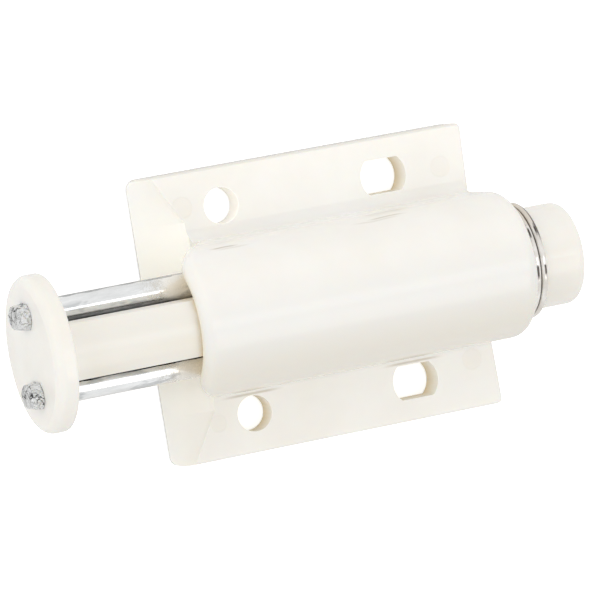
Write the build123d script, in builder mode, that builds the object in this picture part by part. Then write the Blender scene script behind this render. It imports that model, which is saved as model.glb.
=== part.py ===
"""Push to open catch: a magnetic plunger that a spring and a heart-shaped track park in or push out.

Frame: +X runs along the barrel from the plunger's disc to its tail, +Y across the screw flange,
+Z away from the panel that the catch is screwed to. The origin is on the mounting face, at the
centre of the four screw positions. Sizes are in millimetres, and the plunger is drawn fully out.
"""
from build123d import *
import os
from math import asin, degrees

# ---------------------------------------------------------------- driving dimensions
flange_front = -22.3          # ends of the flange along the barrel
flange_rear = 22.65
flange_width = 36.7
flange_front_height = 2.8     # the flange's top face rises gently towards the rear
flange_rear_height = 4.0
flange_rear_notch = 0.5       # the rear edge is this much shorter in the middle
front_corner_radius = 1.3
rear_corner_radius = 0.7
flange_edge_radius = 0.4

screw_spacing_x = 22.2       # rows of screws are this far apart
screw_spacing_y = 26.7
screw_hole_diameter = 4.6
slot_circle = 6.2             # the slots are round holes with flat upper and lower sides
slot_width = 4.4

axis_height = 11.0            # barrel axis above the mounting face
barrel_radius = 9.45
barrel_front = -22.1
barrel_rear = 23.45
barrel_rear_rounding = 1.85
barrel_root_fillet = 1.6
bore_radius = 7.65

ramp_lip = 0.4                # thickness of the flange's thin front edge
ramp_height = 3.1
ramp_ridge = -15.5            # deepest point of the scoop beside the barrel
ramp_corner_ridge = -20.0     # and at the outer edges of the flange
ramp_turn_radius = 1.2        # hollow between the ramp and the leaning foot of the barrel
ramp_bend = 12.0              # distance from the axis where the ramp starts to steepen
hood_height = 15.0            # above this the end of the barrel is upright
hood_radius = 5.0
rim_rounding = 1.4            # outer edge of the barrel's front end
mouth_rounding = 0.3

disc_radius = 9.85
disc_front = -41.6
disc_thickness = 2.8
disc_rounding = 1.25
shank_radius = 7.35
shank_half_height = 3.46      # flats above and below, where the rods lie
collar_length = 4.0           # full round end of the shank, which the spring pushes
tail_radius = 6.55
tail_end = 31.2
tail_rounding = 1.1
socket_radius = 4.6           # blind hole that cores the tail from behind
socket_depth = 26.0

rod_radius = 1.7
rod_offset = 4.87
rod_tip = -43.2
rod_end = -1.0
head_width = 3.2              # the rods' ends are peened over in front of the disc
head_height = 4.6
head_rise = 0.7               # the heads are spread further up than down
head_corner = 1.0
fit_gap = 0.02

magnet_length = 14.0
magnet_height = 7.0
magnet_front = -19.0

travel = 14.5                 # from fully out to fully pressed
latched_travel = 12.5

spring_radius = 7.2           # to the middle of the wire
spring_wire = 0.62
spring_turns = 5.5
wire_sides = 8                # flats that stand for the round section of a thin wire
lip_front = 22.3
lip_radius = 6.9

ring_wire = 0.92
ring_outer_radius = 7.5
ring_pitch = 0.93
ring_jog_angle = 50           # the part of a turn that steps from one coil to the next

follower_pivot = -15.0
follower_arm = 12.0
follower_wire = 1.0
follower_height = 0.9         # middle of the wire above the mounting face
follower_top = 5.2            # end of the leg that runs in the track
follower_bend = 0.55
track_reach = 2.2             # how far the track swings the follower aside
track_clearance = 0.12
track_floor = 5.5
pivot_clearance = 0.06
pivot_depth = 2.7

# ---------------------------------------------------------------- derived places
half_width = flange_width / 2
follower_tip = follower_pivot + follower_arm
swing = degrees(asin(track_reach / follower_arm))
track_width = follower_wire + 2 * track_clearance
ring_coil_radius = ring_outer_radius - ring_wire / 2
ring_front = barrel_rear + ring_wire / 2
magnet_width = 2 * (rod_offset - rod_radius)
head_base = disc_front - fit_gap

os.makedirs("parts", exist_ok=True)


def save(builder, name):
    """Label a finished sub-part and write it to its own STEP file."""
    builder.part.label = name
    export_step(builder.part, f"parts/{name}.step")


def across(x):
    """Plane square to the barrel axis at x, its local x along +Y and its local y along +Z."""
    return Plane(origin=(x, 0, axis_height), x_dir=(0, 1, 0), z_dir=(1, 0, 0))


def lengthwise(y):
    """Plane along the barrel at y, its local x along +X and its local y along +Z."""
    return Plane(origin=(0, y, 0), x_dir=(1, 0, 0), z_dir=(0, -1, 0))


def on_barrel(point):
    """Whether a point lies on the barrel's outer surface above the flange."""
    if point.Z > axis_height:
        reach = (point.Y**2 + (point.Z - axis_height) ** 2) ** 0.5
    else:
        reach = abs(point.Y)
    return abs(reach - barrel_radius) < 0.01 and point.Z > flange_rear_height


def in_bore(point):
    """Whether a point lies on the wall of the plunger's bore."""
    return abs((point.Y**2 + (point.Z - axis_height) ** 2) ** 0.5 - bore_radius) < 0.01


def scoop_profile(ridge):
    """What is cut away above the ramp and in front of the barrel, for a ridge at the given x."""
    with BuildSketch() as profile:
        with BuildLine():
            Polyline(
                (flange_front - 5, ramp_lip),
                (flange_front, ramp_lip),
                (ridge, ramp_height),
                (barrel_front, hood_height),
                (barrel_front, 30),
                (flange_front - 5, 30),
                close=True,
            )
        make_face()
        hollow = profile.vertices().group_by(Axis.X)[-1]
        fillet(hollow, ramp_turn_radius)
        hood = profile.vertices().filter_by_position(Axis.Y, hood_height - 1, hood_height + 1)
        fillet(hood, hood_radius)
    return profile.sketch


# ---------------------------------------------------------------- housing, one moulding
inner_scoop = scoop_profile(ramp_ridge)
outer_scoop = scoop_profile(ramp_corner_ridge)
slope = (flange_rear - flange_front, 0, flange_rear_height - flange_front_height)
flange_top = Plane(
    origin=(flange_front, 0, flange_front_height),
    x_dir=slope,
    z_dir=(-slope[2], 0, slope[0]),
)

# barrel: round above its axis, straight sides down to the mounting face, its front end scooped
with BuildPart() as barrel:
    with BuildSketch(across(flange_front)):
        Circle(barrel_radius)
        with Locations((0, -axis_height / 2)):
            Rectangle(2 * barrel_radius, axis_height)
    extrude(amount=barrel_rear - flange_front)
    rear_face = barrel.faces().sort_by(Axis.X)[-1]
    fillet(rear_face.edges().filter_by(lambda e: e.center().Z > 1), barrel_rear_rounding)
    with BuildSketch(lengthwise(0)):
        add(inner_scoop)
    extrude(amount=ramp_bend, both=True, mode=Mode.SUBTRACT)
    rim = barrel.edges().filter_by(
        lambda e: e.center().X < ramp_ridge and on_barrel(e @ 0.3) and on_barrel(e @ 0.7)
    )
    fillet(rim, rim_rounding)

with BuildPart() as housing:
    # screw flange, thicker towards the rear
    with BuildSketch() as outline:
        with BuildLine():
            Polyline(
                (flange_front, -half_width),
                (flange_rear, -half_width),
                (flange_rear - flange_rear_notch, 0),
                (flange_rear, half_width),
                (flange_front, half_width),
                close=True,
            )
        make_face()
        fillet(outline.vertices().group_by(Axis.X)[0], front_corner_radius)
        fillet(outline.vertices().group_by(Axis.X)[-1], rear_corner_radius)
    extrude(amount=flange_rear_height + 1)
    split(bisect_by=flange_top, keep=Keep.BOTTOM)
    fillet(housing.faces().sort_by(Axis.Z)[-1].edges(), flange_edge_radius)

    # hollow roots that run along the sloping flange on both sides of the barrel
    with BuildSketch(across(flange_front)):
        for side in (-1, 1):
            corner = (side * (barrel_radius - 1.5), flange_front_height - 0.2 - axis_height)
            foot = (side * (barrel_radius + barrel_root_fillet), corner[1] + 0.2)
            top = (side * barrel_radius, foot[1] + barrel_root_fillet)
            with BuildLine():
                Polyline(top, (corner[0], top[1]), corner, (foot[0], corner[1]), foot)
                RadiusArc(foot, top, side * barrel_root_fillet)
            make_face()
    extrude(amount=flange_rear - flange_front - flange_rear_notch - 0.3, dir=slope)

    # ramp across the front of the flange, steeper towards its outer corners
    with BuildSketch(lengthwise(0)):
        add(inner_scoop)
    extrude(amount=ramp_bend, both=True, mode=Mode.SUBTRACT)
    for side in (-1, 1):
        with BuildSketch(lengthwise(side * ramp_bend)):
            add(inner_scoop)
        with BuildSketch(lengthwise(side * (half_width + 0.5))):
            add(outer_scoop)
        loft(mode=Mode.SUBTRACT)
    add(barrel.part)

    # bore for the plunger, closed at the rear by a lip that the tail passes through
    with BuildSketch(across(flange_front - 1)):
        Circle(bore_radius)
    extrude(amount=lip_front - flange_front + 1, mode=Mode.SUBTRACT)
    mouth = housing.edges().filter_by(
        lambda e: e.center().X < ramp_ridge and in_bore(e @ 0.3) and in_bore(e @ 0.7)
    )
    fillet(mouth, mouth_rounding)
    with BuildSketch(across(lip_front)):
        Circle(lip_radius)
    extrude(amount=5, mode=Mode.SUBTRACT)

    # two round screw holes in front, two flat-sided holes behind that leave play along the barrel
    with Locations(Plane.XY.offset(flange_rear_height)):
        with Locations(
            (-screw_spacing_x / 2, screw_spacing_y / 2),
            (-screw_spacing_x / 2, -screw_spacing_y / 2),
        ):
            Hole(screw_hole_diameter / 2, depth=flange_rear_height + 1)
    with BuildSketch(mode=Mode.PRIVATE) as slot:
        Circle(slot_circle / 2)
        Rectangle(slot_circle, slot_width, mode=Mode.INTERSECT)
    with BuildSketch():
        with Locations(
            (screw_spacing_x / 2, screw_spacing_y / 2),
            (screw_spacing_x / 2, -screw_spacing_y / 2),
        ):
            add(slot.sketch)
    extrude(amount=flange_rear_height + 1, mode=Mode.SUBTRACT)

    # underside: fan-shaped recess for the follower's arm, its pivot hole, and the curved slot
    # that lets the follower's leg up into the bore
    recess_top = follower_height + follower_wire / 2 + 0.1
    with BuildSketch():
        with BuildLine():
            left = PolarLine((follower_pivot, 0), follower_arm, swing)
            right = PolarLine((follower_pivot, 0), follower_arm, -swing)
            ThreePointArc(left @ 1, (follower_tip, 0), right @ 1)
        make_face()
        offset(amount=follower_wire / 2 + 0.25)
    extrude(amount=recess_top, mode=Mode.SUBTRACT)
    with BuildSketch(Plane.XY.offset(recess_top)):
        with Locations((follower_pivot, 0)):
            Circle(follower_wire / 2 + pivot_clearance)
    extrude(amount=pivot_depth - recess_top, mode=Mode.SUBTRACT)
    with BuildSketch():
        with BuildLine() as sweep_line:
            CenterArc((follower_pivot, 0), follower_arm, -swing - 1, 2 * swing + 2)
        SlotArc(sweep_line.wires()[0], follower_wire + 0.4)
    extrude(amount=axis_height, mode=Mode.SUBTRACT)
save(housing, "housing")

# ---------------------------------------------------------------- plunger, one moulding
# heart-shaped path of the follower's leg, in the plunger's frame: out along one lane, back into
# the notch where it parks, out of the notch the other way and home along the second lane
lane_start = (follower_tip, 0)
lane_top = (follower_tip - travel - 0.2, track_reach)
lane_notch = (follower_tip - latched_travel, 0)
lane_return = (lane_top[0], -track_reach)
lanes = [
    (lane_start, lane_top),
    (lane_top, lane_notch),
    (lane_notch, lane_return),
    (lane_return, lane_start),
]

with BuildPart() as plunger_core:
    # striking disc
    with BuildSketch(across(disc_front)):
        Circle(disc_radius)
    extrude(amount=disc_thickness)
    rims = plunger_core.edges().filter_by(GeomType.CIRCLE)
    fillet(rims.sort_by(Axis.X)[0], disc_rounding)
    fillet(rims.sort_by(Axis.X)[-1], 0.5)

    # shank with a flat above and below, then a full round collar
    with BuildSketch(across(disc_front + disc_thickness)):
        Circle(shank_radius)
        Rectangle(2 * shank_half_height, 2 * axis_height, mode=Mode.INTERSECT)
    extrude(amount=-disc_front - disc_thickness)
    with BuildSketch(across(-collar_length)):
        Circle(shank_radius)
    extrude(amount=collar_length)

    # tail, with a groove that the stop ring snaps into and a cored end
    with BuildSketch(Plane(origin=(0, 0, axis_height), x_dir=(1, 0, 0), z_dir=(0, -1, 0))):
        with BuildLine():
            groove_front = barrel_rear - 0.05
            groove_rear = ring_front + ring_pitch + ring_wire / 2 + 0.05
            groove_radius = ring_outer_radius - ring_wire - fit_gap
            Polyline(
                (0, 0),
                (0, tail_radius),
                (groove_front, tail_radius),
                (groove_front, groove_radius),
                (groove_rear, groove_radius),
                (groove_rear, tail_radius),
                (tail_end - tail_rounding, tail_radius),
            )
            RadiusArc(
                (tail_end - tail_rounding, tail_radius),
                (tail_end, tail_radius - tail_rounding),
                tail_rounding,
            )
            Polyline((tail_end, tail_radius - tail_rounding), (tail_end, 0), (0, 0))
        make_face()
    revolve(axis=Axis((0, 0, axis_height), (1, 0, 0)))
    with BuildSketch(across(tail_end - socket_depth)):
        Circle(socket_radius)
    extrude(amount=socket_depth, mode=Mode.SUBTRACT)

    # grooves for the two rods, holes for them in the disc and the collar
    with BuildSketch(across(disc_front - 1)):
        with Locations((rod_offset, 0), (-rod_offset, 0)):
            Circle(rod_radius + fit_gap)
    extrude(amount=rod_end - disc_front + 1, mode=Mode.SUBTRACT)

    # window for the magnet, open above and to both rods
    with BuildSketch(Plane.XY.offset(axis_height - magnet_height / 2)):
        with Locations((magnet_front + magnet_length / 2, 0)):
            Rectangle(magnet_length + 2 * fit_gap, magnet_width + 0.4)
    extrude(amount=axis_height, mode=Mode.SUBTRACT)

    # heart-shaped track in the underside
    with BuildSketch():
        for start, end in lanes:
            middle = ((start[0] + end[0]) / 2, (start[1] + end[1]) / 2)
            SlotCenterPoint(middle, end, track_width)
    extrude(amount=track_floor, mode=Mode.SUBTRACT)
save(plunger_core, "plunger_core")

# ---------------------------------------------------------------- steel pole rods
for name, y in (("upper_pole_rod", rod_offset), ("lower_pole_rod", -rod_offset)):
    with BuildPart() as rod:
        with BuildSketch(across(head_base)):
            with Locations((y, 0)):
                Circle(rod_radius)
        extrude(amount=rod_end - head_base)
        with BuildSketch(across(head_base)) as head:
            with Locations((y, head_rise)):
                Rectangle(head_width, head_height)
            chamfer(head.vertices(), head_corner)
        extrude(amount=rod_tip - head_base, taper=8)
        chamfer(rod.faces().sort_by(Axis.X)[0].edges(), 0.3)
    save(rod, name)

# ---------------------------------------------------------------- magnet between the rods
with BuildPart() as magnet:
    with BuildSketch(across(magnet_front)):
        Rectangle(magnet_width, magnet_height)
    extrude(amount=magnet_length)
    chamfer(magnet.edges().filter_by(Axis.X), 0.3)
save(magnet, "magnet")

# ---------------------------------------------------------------- drive spring, in the bore
spring_length = lip_front - spring_wire
with BuildPart() as drive_spring:
    with BuildLine() as coil:
        Helix(
            pitch=spring_length / spring_turns,
            height=spring_length,
            radius=spring_radius,
            center=(spring_wire / 2, 0, axis_height),
            direction=(1, 0, 0),
        )
    with BuildSketch(Plane(origin=coil.line @ 0, z_dir=coil.line % 0)):
        RegularPolygon(spring_wire / 2, wire_sides)
    sweep()
save(drive_spring, "drive_spring")

# ---------------------------------------------------------------- stop ring: two flat coils
def ring_point(angle, x):
    """Point on the ring's wire, the angle measured from below towards +Y."""
    turned = Vector(0, 0, -ring_coil_radius).rotate(Axis.X, -angle)
    return Vector(x, 0, axis_height) + turned


with BuildPart() as stop_ring:
    ring_rear = ring_front + ring_pitch
    jog = ring_jog_angle / 2
    with BuildLine() as wire_path:
        first = ThreePointArc(
            ring_point(jog, ring_front),
            ring_point(180, ring_front),
            ring_point(360 - jog, ring_front),
        )
        start_tangent = first % 1
        Spline(
            first @ 1,
            ring_point(360, (ring_front + ring_rear) / 2),
            ring_point(360 + jog, ring_rear),
            tangents=(start_tangent, start_tangent.rotate(Axis.X, -ring_jog_angle)),
        )
        ThreePointArc(
            ring_point(360 + jog, ring_rear),
            ring_point(540, ring_rear),
            ring_point(720 - jog, ring_rear),
        )
    with BuildSketch(Plane(origin=first @ 0, z_dir=first % 0)):
        Circle(ring_wire / 2)
    sweep()
save(stop_ring, "stop_ring")

# ---------------------------------------------------------------- latch follower, bent wire
with BuildPart() as latch_follower:
    with BuildLine() as bent_wire:
        FilletPolyline(
            (follower_pivot, 0, pivot_depth - 0.15),
            (follower_pivot, 0, follower_height),
            (follower_tip, 0, follower_height),
            (follower_tip, 0, follower_top),
            radius=follower_bend,
        )
    with BuildSketch(Plane(origin=bent_wire.line @ 0, z_dir=(0, 0, -1))):
        RegularPolygon(follower_wire / 2, wire_sides)
    sweep()
save(latch_follower, "latch_follower")
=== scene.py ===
"""Looks for the push to open catch: materials, small surface details, camera and studio."""

import math

import bpy
from mathutils import Matrix, Vector


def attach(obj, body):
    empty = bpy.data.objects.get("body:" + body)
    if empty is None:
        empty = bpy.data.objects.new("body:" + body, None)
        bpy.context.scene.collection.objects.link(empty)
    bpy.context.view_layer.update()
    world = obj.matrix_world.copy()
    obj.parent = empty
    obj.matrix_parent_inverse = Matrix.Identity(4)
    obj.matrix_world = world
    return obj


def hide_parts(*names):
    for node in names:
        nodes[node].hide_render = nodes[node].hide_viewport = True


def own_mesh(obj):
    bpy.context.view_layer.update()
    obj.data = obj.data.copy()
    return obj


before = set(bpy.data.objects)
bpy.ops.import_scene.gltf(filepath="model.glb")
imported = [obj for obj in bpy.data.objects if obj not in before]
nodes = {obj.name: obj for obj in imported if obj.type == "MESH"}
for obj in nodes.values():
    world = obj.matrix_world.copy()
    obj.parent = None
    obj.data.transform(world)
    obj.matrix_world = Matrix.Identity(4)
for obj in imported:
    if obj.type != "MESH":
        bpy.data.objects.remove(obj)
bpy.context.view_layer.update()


# ------------------------------------------------------------------ node helpers
def new_material(name):
    mat = bpy.data.materials.new(name)
    mat.use_nodes = True
    tree = mat.node_tree
    tree.nodes.clear()
    out = tree.nodes.new("ShaderNodeOutputMaterial")
    return mat, tree, out


def add(tree, kind, **values):
    """A node with its properties and input defaults set by name."""
    node = tree.nodes.new(kind)
    for key, value in values.items():
        if hasattr(node, key):
            setattr(node, key, value)
        else:
            node.inputs[key.replace("_", " ")].default_value = value
    return node


def noise(tree, scale, detail=3.0, roughness=0.5, stretch=None):
    """Noise over object coordinates; stretch scales the three axes apart."""
    coords = add(tree, "ShaderNodeTexCoord")
    tex = add(tree, "ShaderNodeTexNoise")
    tex.inputs["Scale"].default_value = scale
    tex.inputs["Detail"].default_value = detail
    tex.inputs["Roughness"].default_value = roughness
    if stretch:
        mapping = add(tree, "ShaderNodeMapping")
        mapping.inputs["Scale"].default_value = stretch
        tree.links.new(coords.outputs["Object"], mapping.inputs["Vector"])
        tree.links.new(mapping.outputs["Vector"], tex.inputs["Vector"])
    else:
        tree.links.new(coords.outputs["Object"], tex.inputs["Vector"])
    return tex


def ramp(tree, source, stops):
    """Colour ramp from a list of (position, (r, g, b))."""
    node = add(tree, "ShaderNodeValToRGB")
    elements = node.color_ramp.elements
    while len(elements) > 1:
        elements.remove(elements[0])
    elements[0].position = stops[0][0]
    elements[0].color = (*stops[0][1], 1.0)
    for position, colour in stops[1:]:
        elements.new(position).color = (*colour, 1.0)
    tree.links.new(source, node.inputs["Fac"])
    return node


def remap(tree, source, low, high, to_low, to_high):
    node = add(tree, "ShaderNodeMapRange")
    limits = (("From Min", low), ("From Max", high), ("To Min", to_low), ("To Max", to_high))
    for socket, value in limits:
        node.inputs[socket].default_value = value
    tree.links.new(source, node.inputs["Value"])
    return node


def bump(tree, source, strength, distance, under=None):
    node = add(tree, "ShaderNodeBump")
    node.inputs["Strength"].default_value = strength
    node.inputs["Distance"].default_value = distance
    tree.links.new(source, node.inputs["Height"])
    if under is not None:
        tree.links.new(under, node.inputs["Normal"])
    return node


def srgb(text):
    """Linear colour from a hex string."""
    out = []
    for i in (0, 2, 4):
        c = int(text[i:i + 2], 16) / 255
        out.append(c / 12.92 if c <= 0.04045 else ((c + 0.055) / 1.055) ** 2.4)
    return tuple(out)


def calc(tree, operation, *values):
    """Math node; each value is a number or a socket."""
    node = add(tree, "ShaderNodeMath", operation=operation)
    for socket, value in zip(node.inputs, values):
        if isinstance(value, (int, float)):
            socket.default_value = value
        else:
            tree.links.new(value, socket)
    return node.outputs[0]


def axes(tree):
    """The three object coordinates."""
    coords = add(tree, "ShaderNodeTexCoord")
    split = add(tree, "ShaderNodeSeparateXYZ")
    tree.links.new(coords.outputs["Object"], split.inputs[0])
    return split.outputs


def normal_axes(tree):
    """The surface's own normal, split."""
    coords = add(tree, "ShaderNodeTexCoord")
    split = add(tree, "ShaderNodeSeparateXYZ")
    tree.links.new(coords.outputs["Normal"], split.inputs[0])
    return split.outputs


def length2(tree, a, b):
    """Length of the vector (a, b)."""
    squares = calc(tree, "ADD", calc(tree, "MULTIPLY", a, a), calc(tree, "MULTIPLY", b, b))
    return calc(tree, "SQRT", squares)


def shift(tree, value, by):
    return calc(tree, "SUBTRACT", value, by)


def soft(tree, value, full, none):
    """1 where the value has reached full, 0 where it has reached none, smooth between."""
    node = add(tree, "ShaderNodeMapRange", interpolation_type="SMOOTHSTEP")
    node.inputs["From Min"].default_value = none
    node.inputs["From Max"].default_value = full
    tree.links.new(value, node.inputs["Value"])
    return node.outputs["Result"]


def product(tree, *values):
    total = values[0]
    for value in values[1:]:
        total = calc(tree, "MULTIPLY", total, value)
    return total


def band(tree, value, centre, half, edge):
    """1 within half of the centre, falling to 0 over the edge."""
    return soft(tree, calc(tree, "ABSOLUTE", shift(tree, value, centre)), half, half + edge)


def blend(tree, factor, base, colour):
    """Mixes a fixed colour, or a socket, over a base socket."""
    node = add(tree, "ShaderNodeMix", data_type="RGBA")
    tree.links.new(factor, node.inputs[0])
    for socket, value in ((node.inputs[6], base), (node.inputs[7], colour)):
        if isinstance(value, tuple):
            socket.default_value = (*value, 1.0)
        else:
            tree.links.new(value, socket)
    return node.outputs[2]


# ------------------------------------------------------------------ materials
def plastic(name, light, dark, rough=0.17):
    """Moulded cream plastic: satin, faintly mottled. Returns what the callers add marks to."""
    mat, tree, out = new_material(name)
    shader = add(tree, "ShaderNodeBsdfPrincipled")
    cloud = noise(tree, 90, 4, 0.55)
    colour = ramp(tree, cloud.outputs["Fac"], [(0.30, dark), (0.70, light)]).outputs["Color"]
    grain = noise(tree, 1400, 3, 0.6)
    gloss = remap(tree, grain.outputs["Fac"], 0.3, 0.7, rough - 0.03, rough + 0.05)
    tree.links.new(gloss.outputs["Result"], shader.inputs["Roughness"])
    ripple = noise(tree, 160, 2, 0.5)
    wave = bump(tree, ripple.outputs["Fac"], 0.25, 0.00006)
    fine = bump(tree, grain.outputs["Fac"], 0.15, 0.00001, wave.outputs["Normal"])
    tree.links.new(fine.outputs["Normal"], shader.inputs["Normal"])
    shader.inputs["IOR"].default_value = 1.49
    shader.inputs["Subsurface Weight"].default_value = 0.25
    shader.inputs["Subsurface Radius"].default_value = (1.0, 0.72, 0.45)
    shader.inputs["Subsurface Scale"].default_value = 0.0014
    tree.links.new(shader.outputs["BSDF"], out.inputs["Surface"])
    return mat, tree, shader, colour, fine


def metal(name, light, dark, rough, stretch, bump_depth=0.000006, scale=900):
    """Bright steel with drawing marks along the stretched axis."""
    mat, tree, out = new_material(name)
    shader = add(tree, "ShaderNodeBsdfPrincipled")
    shader.inputs["Metallic"].default_value = 1.0
    marks = noise(tree, scale, 4, 0.6, stretch)
    colour = ramp(tree, marks.outputs["Fac"], [(0.32, dark), (0.66, light)]).outputs["Color"]
    gloss = remap(tree, marks.outputs["Fac"], 0.3, 0.7, rough + 0.06, max(rough - 0.05, 0.03))
    fine = bump(tree, marks.outputs["Fac"], 0.3, bump_depth)
    tree.links.new(shader.outputs["BSDF"], out.inputs["Surface"])
    return mat, tree, shader, colour, gloss.outputs["Result"], fine


def metal_finish(tree, shader, colour, gloss, normal):
    tree.links.new(colour, shader.inputs["Base Color"])
    tree.links.new(gloss, shader.inputs["Roughness"])
    tree.links.new(normal.outputs["Normal"], shader.inputs["Normal"])


# places on the housing, in metres
hole_x, hole_y = 0.0111, 0.01335      # screw holes, either side of the origin
hole_r, slot_r, slot_half = 0.0023, 0.0031, 0.0022
axis_z = 0.011                        # barrel axis above the mounting face
bore_r = 0.00765

# housing
housing_plastic, tree, shader, colour, fine = plastic(
    "cream_plastic_housing", srgb("F8F6F1"), srgb("F3F0E9")
)
x, y, z = axes(tree)
side_y = calc(tree, "ABSOLUTE", y)
off_y = shift(tree, side_y, hole_y)
front_d = length2(tree, shift(tree, x, -hole_x), off_y)
rear_d = length2(tree, shift(tree, x, hole_x), off_y)
front_wall = soft(tree, front_d, hole_r + 0.00001, hole_r + 0.00006)
rear_round = soft(tree, rear_d, slot_r + 0.00001, slot_r + 0.00006)
rear_wall = product(tree, rear_round, band(tree, off_y, 0.0, slot_half + 0.00001, 0.00004))
wall = calc(tree, "MAXIMUM", front_wall, rear_wall)
# painted shade and glow: the hole walls are darker amber deep down and paler near the top, with a painted
# glow of light through the plastic
depth = soft(tree, z, 0.0036, -0.0006)
painted_wall_shade = blend(tree, depth, (0.80, 0.65, 0.47), (0.90, 0.88, 0.82))
painted_wall_glow = blend(tree, depth, (0.11, 0.11, 0.07), (0.09, 0.09, 0.085))
# the upper front hole's wall catches the light and stays pale
pale = product(tree, soft(tree, x, -0.001, 0.001), soft(tree, y, 0.001, -0.001))
painted_wall_shade = blend(tree, pale, painted_wall_shade, (0.94, 0.92, 0.88))
painted_wall_glow = blend(tree, pale, painted_wall_glow, (0.16, 0.15, 0.13))
# painted shade: the bore's inside is darker amber with a painted glow, and the mouth's rim is warmer
from_axis = length2(tree, y, shift(tree, z, axis_z))
bore = soft(tree, from_axis, bore_r + 0.00002, bore_r + 0.00022)
bore = product(tree, bore, soft(tree, x, 0.0220, 0.0222))
rim = soft(tree, from_axis, bore_r + 0.0002, bore_r + 0.0012)
rim = product(tree, rim, soft(tree, x, -0.0214, -0.0208))
# painted shade: the barrel's lower side is greyer, and warmest at its foot
barrel = soft(tree, z, 0.0068, 0.0052)
lower = product(tree, barrel, soft(tree, y, -0.001, 0.006), 0.8)
colour = blend(tree, lower, colour, (0.855, 0.850, 0.825))
lowest = product(tree, barrel, soft(tree, y, -0.007, -0.001), 0.8)
colour = blend(tree, lowest, colour, (0.835, 0.800, 0.715))
colour = blend(tree, wall, colour, painted_wall_shade)
colour = blend(tree, rim, colour, (0.90, 0.84, 0.70))
colour = blend(tree, bore, colour, (0.76, 0.66, 0.46))
glow = blend(tree, wall, (0.0, 0.0, 0.0), painted_wall_glow)
glow = blend(tree, bore, glow, (0.20, 0.16, 0.09))
# painted glow of light through the thin ramp, most beside the plunger and on its upper side
nx, ny, nz = normal_axes(tree)
ramp_face = product(tree, soft(tree, nx, -0.12, -0.05), soft(tree, nz, 0.50, 0.40))
ramp_face = product(tree, ramp_face, soft(tree, x, -0.0150, -0.0145))
ramp_face = product(tree, ramp_face, soft(tree, z, 0.0049, 0.0056), band(tree, ny, 0.0, 0.40, 0.15))
inner = soft(tree, side_y, 0.0075, 0.0180)
above = blend(tree, inner, (0.065, 0.062, 0.055), (0.21, 0.205, 0.175))
below = blend(tree, inner, (0.04, 0.04, 0.032), (0.11, 0.102, 0.080))
glow = blend(tree, ramp_face, glow, blend(tree, soft(tree, y, 0.001, -0.001), below, above))
# short flow streaks on the barrel's upper shoulder, beside the upper screw holes
streaks = None
for centre, half, level, strength in (
    (-0.0157, 0.0020, 0.0141, 0.65),
    (-0.0147, 0.0024, 0.0146, 0.25),
    (0.0063, 0.0028, 0.0141, 0.50),
    (0.0048, 0.0036, 0.0146, 0.25),
):
    drift = noise(tree, 300, 2, 0.5, (1, 0.2, 0.2)).outputs["Fac"]
    height = calc(tree, "ADD", z, calc(tree, "MULTIPLY", shift(tree, drift, 0.5), 0.0006))
    mark = product(
        tree,
        band(tree, height, level, 0.00006, 0.00024),
        band(tree, x, centre, half * 0.4, half * 0.7),
    )
    mark = product(tree, mark, soft(tree, y, 0.0080, 0.0070), strength)
    streaks = mark if streaks is None else calc(tree, "MAXIMUM", streaks, mark)
colour = blend(tree, streaks, colour, (0.50, 0.44, 0.34))
# painted shade: the flange's long upper edge is a little darker
edge = soft(tree, y, 0.01822, 0.01800)
colour = blend(tree, calc(tree, "MULTIPLY", edge, 0.35), colour, (0.55, 0.52, 0.45))
# painted shade in the creases where the barrel's root is cut back beside the screw holes
foot = band(tree, side_y, 0.01080, 0.00003, 0.00022)
near = soft(tree, calc(tree, "MINIMUM", front_d, rear_d), 0.0030, 0.0052)
painted_crease_shade = product(tree, foot, near, soft(tree, y, -0.0001, 0.0001), soft(tree, z, 0.0050, 0.0060))
colour = blend(tree, calc(tree, "MULTIPLY", painted_crease_shade, 0.55), colour, (0.42, 0.35, 0.25))
# round ejector marks and the faint seats of the screw heads, as shallow steps
height = None
for px, py, radius in (
    (-0.0163, 0.0139, 0.00125),
    (0.0190, 0.0132, 0.00125),
    (-0.0161, -0.0137, 0.00100),
    (0.0192, -0.0120, 0.00125),
):
    disc = soft(tree, length2(tree, shift(tree, x, px), shift(tree, y, py)), radius, radius + 0.0002)
    height = disc if height is None else calc(tree, "MAXIMUM", height, disc)
seat = soft(tree, calc(tree, "MINIMUM", front_d, rear_d), 0.0038, 0.0040)
steps = calc(tree, "ADD", height, calc(tree, "MULTIPLY", seat, 0.3))
upward = soft(tree, z, 0.0046, 0.0048)
steps = product(tree, steps, upward)
colour = blend(tree, product(tree, height, upward, 0.15), colour, srgb("E9E0D0"))
pressed = bump(tree, steps, 0.5, 0.00005, fine.outputs["Normal"])
pressed.invert = True
tree.links.new(pressed.outputs["Normal"], shader.inputs["Normal"])
tree.links.new(colour, shader.inputs["Base Color"])
# the painted glow of the hole walls, bore and ramp goes out as emission
tree.links.new(glow, shader.inputs["Emission Color"])
shader.inputs["Emission Strength"].default_value = 1.0

# plunger: as the housing, a touch whiter, with painted black shade in its rod channels
plunger_plastic, tree, shader, colour, _ = plastic(
    "cream_plastic_plunger", srgb("F8F6F1"), srgb("F2EFE7")
)
x, y, z = axes(tree)
ny = normal_axes(tree)[1]
flat = soft(tree, calc(tree, "ABSOLUTE", ny), 0.9, 0.7)
side_y = calc(tree, "ABSOLUTE", y)
rise = calc(tree, "ABSOLUTE", shift(tree, z, axis_z))
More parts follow.
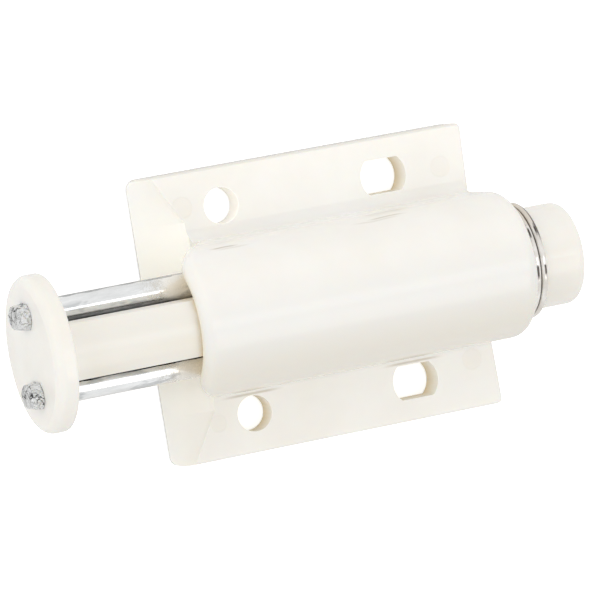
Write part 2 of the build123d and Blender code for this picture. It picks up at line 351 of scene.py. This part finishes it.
# painted shade: the walls of the rod channels are black
channel = product(tree, flat, band(tree, side_y, 0.00340, 0.00015, 0.00005))
channel = product(tree, channel, soft(tree, x, -0.0010, -0.0005))
painted_gap_darkness = product(tree, channel, soft(tree, rise, 0.0015, 0.0021))
sheen = calc(tree, "MULTIPLY", calc(tree, "SUBTRACT", 1.0, channel), 0.5)
tree.links.new(sheen, shader.inputs["Specular IOR Level"])
shank = product(tree, soft(tree, x, -0.0345, -0.0388), soft(tree, x, -0.0205, -0.0195))
colour = blend(tree, calc(tree, "MULTIPLY", shank, 0.75), colour, srgb("EDEAE2"))
# painted shade: the shank's lower side is patchily darker and warmer
patchy = soft(tree, noise(tree, 130, 2, 0.5, (0.3, 1, 1)).outputs["Fac"], 0.60, 0.35)
painted_underside_shade = product(tree, shank, soft(tree, y, -0.0012, 0.0002), patchy)
colour = blend(tree, calc(tree, "MULTIPLY", painted_underside_shade, 0.6), colour, srgb("E9E3D6"))
colour = blend(tree, painted_gap_darkness, colour, (0.012, 0.010, 0.008))
# painted shade, patchy and brownish, where the core goes into the bore's mouth
patchy = soft(tree, noise(tree, 700, 3, 0.7).outputs["Fac"], 0.62, 0.38)
painted_mouth_shade = product(tree, soft(tree, x, -0.0212, -0.0228), soft(tree, x, -0.0190, -0.0170), patchy)
colour = blend(tree, calc(tree, "MULTIPLY", painted_mouth_shade, 0.5), colour, (0.62, 0.50, 0.30))
tree.links.new(colour, shader.inputs["Base Color"])

# pole rods: drawn and plated, rough broken ends, dull and speckled darker towards the bore's mouth
rod_steel, tree, shader, colour, gloss, fine = metal(
    "plated_rod_steel", (0.92, 0.93, 0.93), (0.78, 0.79, 0.79), 0.11, (0.25, 1, 1)
)
x, y = axes(tree)[:2]
ends = soft(tree, calc(tree, "MULTIPLY", x, -1.0), 0.04166, 0.04160)
# cracks on the peened ends, along the edges of warped cells
cells = add(tree, "ShaderNodeTexVoronoi", feature="DISTANCE_TO_EDGE")
coords = add(tree, "ShaderNodeTexCoord")
warp = noise(tree, 900, 3, 0.6)
bend = add(tree, "ShaderNodeMix", data_type="RGBA")
bend.inputs[0].default_value = 0.0012
tree.links.new(coords.outputs["Object"], bend.inputs[6])
tree.links.new(warp.outputs["Color"], bend.inputs[7])
tree.links.new(bend.outputs[2], cells.inputs["Vector"])
cells.inputs["Scale"].default_value = 900
crack = soft(tree, cells.outputs["Distance"], 0.02, 0.10)
pick = soft(tree, noise(tree, 500, 2, 0.5).outputs["Fac"], 0.56, 0.50)
crack = product(tree, crack, pick, ends)
bright = blend(tree, ends, colour, (0.80, 0.81, 0.81))
specks = soft(tree, noise(tree, 1500, 4, 0.7).outputs["Fac"], 0.66, 0.36)
darker_specks = product(tree, soft(tree, x, -0.0235, -0.0275), specks)
bright = blend(tree, calc(tree, "MULTIPLY", darker_specks, 0.8), bright, (0.58, 0.54, 0.46))
# painted light: the rods are lighter near the mouth, lifting the shade there; the same place is also matt
painted_mouth_light = soft(tree, x, -0.0228, -0.0250)
bright = blend(tree, calc(tree, "MULTIPLY", painted_mouth_light, 0.8), bright, (0.95, 0.93, 0.88))
bright = blend(tree, crack, bright, (0.02, 0.02, 0.02))
pits = soft(tree, noise(tree, 2600, 4, 0.8, (1, 1, 1)).outputs["Fac"], 0.73, 0.69)
# painted dark reflections: the rods' dark rims beside the shank and at the upper rod's far side, with an
# uneven edge
uneven = calc(tree, "MULTIPLY", shift(tree, noise(tree, 420, 3, 0.6).outputs["Fac"], 0.5), 0.0004)
across = calc(tree, "ADD", y, uneven)
painted_gap_darkness = product(tree, soft(tree, across, 0.00340, 0.00352), soft(tree, across, -0.00408, -0.00418))
edge = soft(tree, across, 0.00650, 0.00638)
bright = blend(tree, calc(tree, "MULTIPLY", edge, 0.6), bright, (0.16, 0.17, 0.18))
bright = blend(tree, product(tree, painted_gap_darkness, soft(tree, x, -0.0400, -0.0405)), bright, (0.010, 0.008, 0.006))
bright = blend(tree, calc(tree, "MULTIPLY", pits, 0.5), bright, (0.18, 0.18, 0.18))
cloudy = soft(tree, noise(tree, 520, 3, 0.7, (0.3, 1, 1)).outputs["Fac"], 0.62, 0.52)
smudge = product(tree, soft(tree, across, 0.0052, 0.0059), cloudy, 0.45)
bright = blend(tree, smudge, bright, (0.34, 0.36, 0.38))
# the flank beside the shank is dull grey, without a mirror finish
flank = soft(tree, calc(tree, "ABSOLUTE", y), 0.0036, 0.0041)
matt = calc(tree, "MAXIMUM", calc(tree, "MULTIPLY", flank, 0.85), calc(tree, "MULTIPLY", darker_specks, 0.6))
matt = calc(tree, "MAXIMUM", matt, calc(tree, "MULTIPLY", painted_mouth_light, 0.9))
tree.links.new(calc(tree, "SUBTRACT", 1.0, matt), shader.inputs["Metallic"])
dull = calc(tree, "ADD", gloss, calc(tree, "MULTIPLY", darker_specks, 0.25))
dull = calc(tree, "ADD", dull, calc(tree, "MULTIPLY", ends, 0.10))
lumps = noise(tree, 1100, 3, 0.55)
lumpy = calc(tree, "MULTIPLY", ends, lumps.outputs["Fac"])
rough_ends = bump(tree, lumpy, 1.0, 0.0010, fine.outputs["Normal"])
metal_finish(tree, shader, bright, dull, rough_ends)

def spring_wire(name, metallic):
    """Bright spring steel."""
    mat, tree, shader, colour, gloss, fine = metal(
        name, (0.93, 0.91, 0.88), (0.72, 0.68, 0.63), 0.10, (1, 1, 1), scale=500
    )
    shader.inputs["Metallic"].default_value = metallic
    return mat, tree, shader, colour, gloss, fine


wire_steel, tree, shader, colour, gloss, fine = spring_wire("spring_wire", 1.0)
metal_finish(tree, shader, colour, gloss, fine)

# the stop ring's wire is duller, with painted dark reflections, painted shade in the line between its two
# coils, and browner on its upper side
ring_steel, tree, shader, colour, gloss, fine = spring_wire("stop_ring_wire", 0.65)
x, y, z = axes(tree)
angle = calc(tree, "ARCTAN2", y, shift(tree, z, axis_z))
drift = shift(tree, noise(tree, 900, 2, 0.6).outputs["Fac"], 0.5)
waver = calc(tree, "ADD", angle, calc(tree, "MULTIPLY", drift, 0.25))
dark = None
for coil_x, at, half in (
    (0.02385, 0.55, 0.06),
    (0.02385, -0.17, 0.05),
    (0.02490, -0.14, 0.05),
    (0.02482, 0.58, 0.05),
):
    mark = product(tree, band(tree, x, coil_x, 0.00008, 0.00012), band(tree, waver, at, half, 0.09))
    dark = mark if dark is None else calc(tree, "MAXIMUM", dark, mark)
rims = calc(tree, "MAXIMUM", soft(tree, x, 0.02500, 0.02490), soft(tree, x, 0.02372, 0.02382))
from_axis = length2(tree, y, shift(tree, z, axis_z))
rims = product(tree, rims, soft(tree, from_axis, 0.00720, 0.00712))
rims = product(tree, rims, soft(tree, angle, 0.60, 0.25), soft(tree, angle, 1.60, 1.85))
dark = calc(tree, "MAXIMUM", dark, rims)
painted_groove_shade = product(tree, band(tree, x, 0.024375, 0.00003, 0.00011), 0.60)
dark = calc(tree, "MAXIMUM", dark, painted_groove_shade)
colour = blend(tree, soft(tree, angle, 0.85, 0.55), colour, (0.74, 0.68, 0.60))
colour = blend(tree, calc(tree, "MULTIPLY", dark, 0.93), colour, (0.03, 0.018, 0.012))
metal_finish(tree, shader, colour, gloss, fine)

# magnet
ferrite, tree, out = new_material("pressed_ferrite")
shader = add(tree, "ShaderNodeBsdfPrincipled")
speck = noise(tree, 2600, 4, 0.7)
tint = ramp(tree, speck.outputs["Fac"], [(0.3, (0.012, 0.012, 0.014)), (0.7, (0.035, 0.035, 0.038))])
tree.links.new(tint.outputs["Color"], shader.inputs["Base Color"])
matt = remap(tree, speck.outputs["Fac"], 0.3, 0.7, 0.5, 0.7)
tree.links.new(matt.outputs["Result"], shader.inputs["Roughness"])
pits = bump(tree, speck.outputs["Fac"], 0.3, 0.00002)
tree.links.new(pits.outputs["Normal"], shader.inputs["Normal"])
tree.links.new(shader.outputs["BSDF"], out.inputs["Surface"])

dressed = {
    "housing": housing_plastic,
    "plunger_core": plunger_plastic,
    "upper_pole_rod": rod_steel,
    "lower_pole_rod": rod_steel,
    "magnet": ferrite,
    "drive_spring": wire_steel,
    "stop_ring": ring_steel,
    "latch_follower": wire_steel,
}
for name, material in dressed.items():
    slots = nodes[name].data.materials
    slots.clear()
    slots.append(material)

# the drive spring shortens as the plunger goes in, so a copy of its mesh stands for the rigid solid
spring = bpy.data.objects.new("drive_spring_coil", nodes["drive_spring"].data.copy())
bpy.context.scene.collection.objects.link(spring)
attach(spring, "housing_body")
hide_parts("drive_spring")
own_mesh(spring)

# ------------------------------------------------------------------ floor and world
floor_mesh = bpy.data.meshes.new("studio_floor")
half, level = 3.0, -0.0002
floor_mesh.from_pydata(
    [(-half, -half, level), (half, -half, level), (half, half, level), (-half, half, level)],
    [],
    [(0, 1, 2, 3)],
)
floor = bpy.data.objects.new("studio_floor", floor_mesh)
bpy.context.scene.collection.objects.link(floor)
mat, tree, out = new_material("studio_floor")
paper = add(tree, "ShaderNodeBsdfDiffuse")
tone = ramp(tree, noise(tree, 3, 2).outputs["Fac"], [(0.3, (0.86, 0.86, 0.86)), (0.7, (0.88, 0.88, 0.88))])
tree.links.new(tone.outputs["Color"], paper.inputs["Color"])
glow = add(tree, "ShaderNodeEmission")
path = add(tree, "ShaderNodeLightPath")
seen = calc(tree, "MAXIMUM", path.outputs["Is Camera Ray"], path.outputs["Is Transmission Ray"])
tree.links.new(calc(tree, "MULTIPLY", seen, 0.6), glow.inputs["Strength"])
both = add(tree, "ShaderNodeAddShader")
tree.links.new(paper.outputs[0], both.inputs[0])
tree.links.new(glow.outputs[0], both.inputs[1])
tree.links.new(both.outputs[0], out.inputs["Surface"])
floor_mesh.materials.append(mat)

world = bpy.data.worlds.new("studio")
bpy.context.scene.world = world
world.use_nodes = True
tree = world.node_tree
tree.nodes.clear()
out = tree.nodes.new("ShaderNodeOutputWorld")
path = add(tree, "ShaderNodeLightPath")
seen = calc(tree, "MAXIMUM", path.outputs["Is Camera Ray"], path.outputs["Is Transmission Ray"])
strength = calc(tree, "ADD", calc(tree, "MULTIPLY", seen, 0.26), 0.74)
strength = calc(tree, "ADD", strength, calc(tree, "MULTIPLY", path.outputs["Is Glossy Ray"], 0.18))
sky = add(tree, "ShaderNodeBackground")
sky.inputs["Color"].default_value = (1, 1, 1, 1)
tree.links.new(strength, sky.inputs["Strength"])
tree.links.new(sky.outputs[0], out.inputs["Surface"])


# ------------------------------------------------------------------ lamps
def softbox(name, towards, distance, size, radiance, tint=(1.0, 1.0, 1.0), mirrored=False):
    """A rectangular lamp in the given direction from the object, its first side level with X."""
    data = bpy.data.lights.new(name, "AREA")
    data.shape = "RECTANGLE"
    data.size, data.size_y = size
    data.energy = radiance * math.pi * size[0] * size[1]
    data.color = tint
    lamp = bpy.data.objects.new(name, data)
    bpy.context.scene.collection.objects.link(lamp)
    back = Vector(towards).normalized()
    up = back.cross(Vector((1, 0, 0))).normalized()
    side = up.cross(back)
    turn = Matrix((side, up, back)).transposed().to_4x4()
    turn.translation = Vector((-0.006, 0, 0.011)) + back * distance
    lamp.matrix_world = turn
    lamp.visible_glossy = mirrored
    lamp.visible_camera = False
    return lamp


softbox("overhead", (0.368, -0.05, 0.93), 1.0, (0.90, 0.26), 1.15, mirrored=True)
softbox("overhead_low", (0.368, -0.44, 0.82), 1.0, (0.5, 0.42), 1.15, (1.0, 0.94, 0.84), True)
softbox("front", (-0.85, 0.10, 0.35), 1.1, (0.9, 0.9), 1.15)
softbox("upper", (0.25, 0.85, 0.55), 1.0, (1.2, 0.8), 0.60)

# ------------------------------------------------------------------ camera
cam_data = bpy.data.cameras.new("camera")
cam_data.sensor_width = 36.0
cam_data.lens = 251.11
cam_data.clip_start = 0.01
cam_data.clip_end = 20.0
camera = bpy.data.objects.new("camera", cam_data)
bpy.context.scene.collection.objects.link(camera)
camera.location = (-0.189851, 0.044964, 0.488957)
camera.rotation_mode = "QUATERNION"
camera.rotation_quaternion = (0.978597, -0.027312, -0.184968, -0.085958)
bpy.context.scene.camera = camera
bpy.context.scene.view_settings.view_transform = "Standard"
